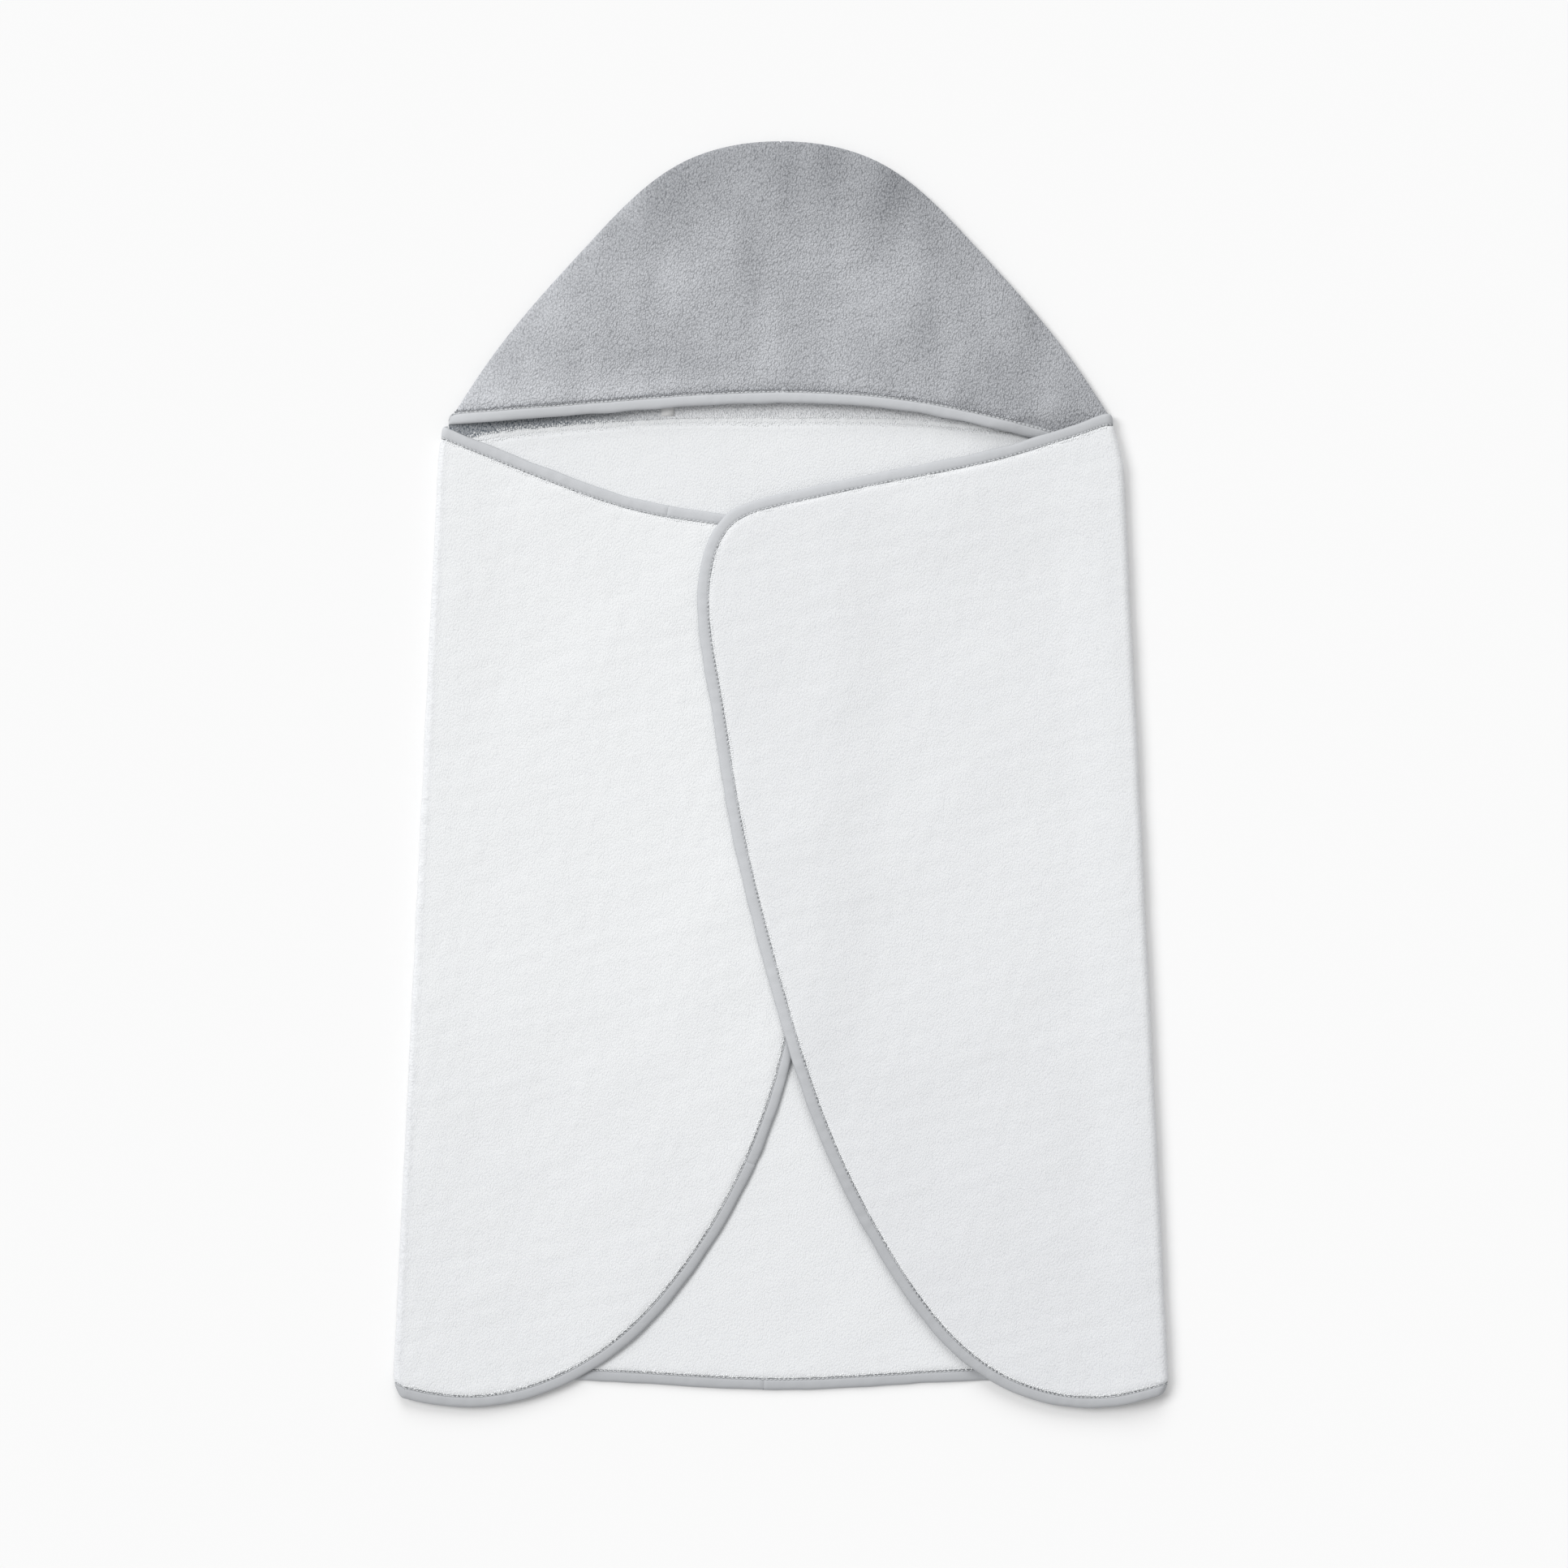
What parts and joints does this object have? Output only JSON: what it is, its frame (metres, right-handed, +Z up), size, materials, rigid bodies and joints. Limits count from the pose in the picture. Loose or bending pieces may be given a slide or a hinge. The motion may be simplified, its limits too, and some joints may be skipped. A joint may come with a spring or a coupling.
{
  "type": "hooded baby towel",
  "caption": "Hooded terry baby towel laid flat, two rounded fronts folded over the back, contrast hood pocket and edge binding.",
  "frame": {"origin": "on the ground under the middle of the towel's bounding box, as it lies flat with the fronts folded in", "axes": "+Y from the hem to the crown of the hood, +X to the right-hand side seen from above, +Z up"},
  "size_m": [0.5156, 0.8411, 0.0124],
  "materials": {
    "body_terry": "matte white cotton terry loops",
    "hood_terry": "matte light grey cotton terry loops",
    "binding_tape": "matte light grey knitted cotton tape",
    "thread": "grey polyester sewing thread",
    "label_satin": "white woven satin ribbon, blank"
  },
  "bodies": {
    "back": {"back_panel": "body_terry", "hem_binding_left": "binding_tape", "hem_binding_right": "binding_tape", "hem_topstitch": "thread", "neck_seam": "thread", "care_label": "label_satin", "hood_back_panel": "hood_terry", "hood_dome_seam": "hood_terry", "left_fold": "body_terry", "left_fold_hem_binding": "binding_tape", "left_shoulder_binding": "binding_tape", "right_fold": "body_terry", "right_fold_hem_binding": "binding_tape", "right_shoulder_binding": "binding_tape"},
    "left_front": {"left_front_panel": "body_terry", "left_front_tucked_panel": "body_terry", "left_neck_binding": "binding_tape", "left_corner_binding": "binding_tape", "left_curve_binding": "binding_tape", "left_front_topstitch": "thread"},
    "right_front": {"right_front_panel": "body_terry", "right_front_binding": "binding_tape", "right_front_topstitch": "thread"},
    "hood_front": {"hood_front_panel": "hood_terry", "hood_mouth_binding": "binding_tape", "hood_mouth_topstitch": "thread"}
  },
  "joints": [
    {"name": "left_front_fold", "type": "hinge", "parent": "back", "child": "left_front", "pos_m": [-0.22275, 0.23, 0.00375], "axis": [-0.0488, -0.9988, 0], "range_deg": [0, 180], "deforming": ["left_fold", "left_fold_hem_binding", "left_shoulder_binding", "left_front_tucked_panel", "left_corner_binding", "left_front_topstitch"]},
    {"name": "right_front_fold", "type": "hinge", "parent": "back", "child": "right_front", "pos_m": [0.221, 0.23, 0.0055], "axis": [-0.0488, 0.9988, 0], "range_deg": [0, 180], "deforming": ["right_fold", "right_fold_hem_binding", "right_shoulder_binding"]},
    {"name": "hood_mouth_lift", "type": "hinge", "parent": "back", "child": "hood_front", "pos_m": [0, 0.4204, 0.009], "axis": [-1, 0, 0], "range_deg": [0, 40]}
  ]
}
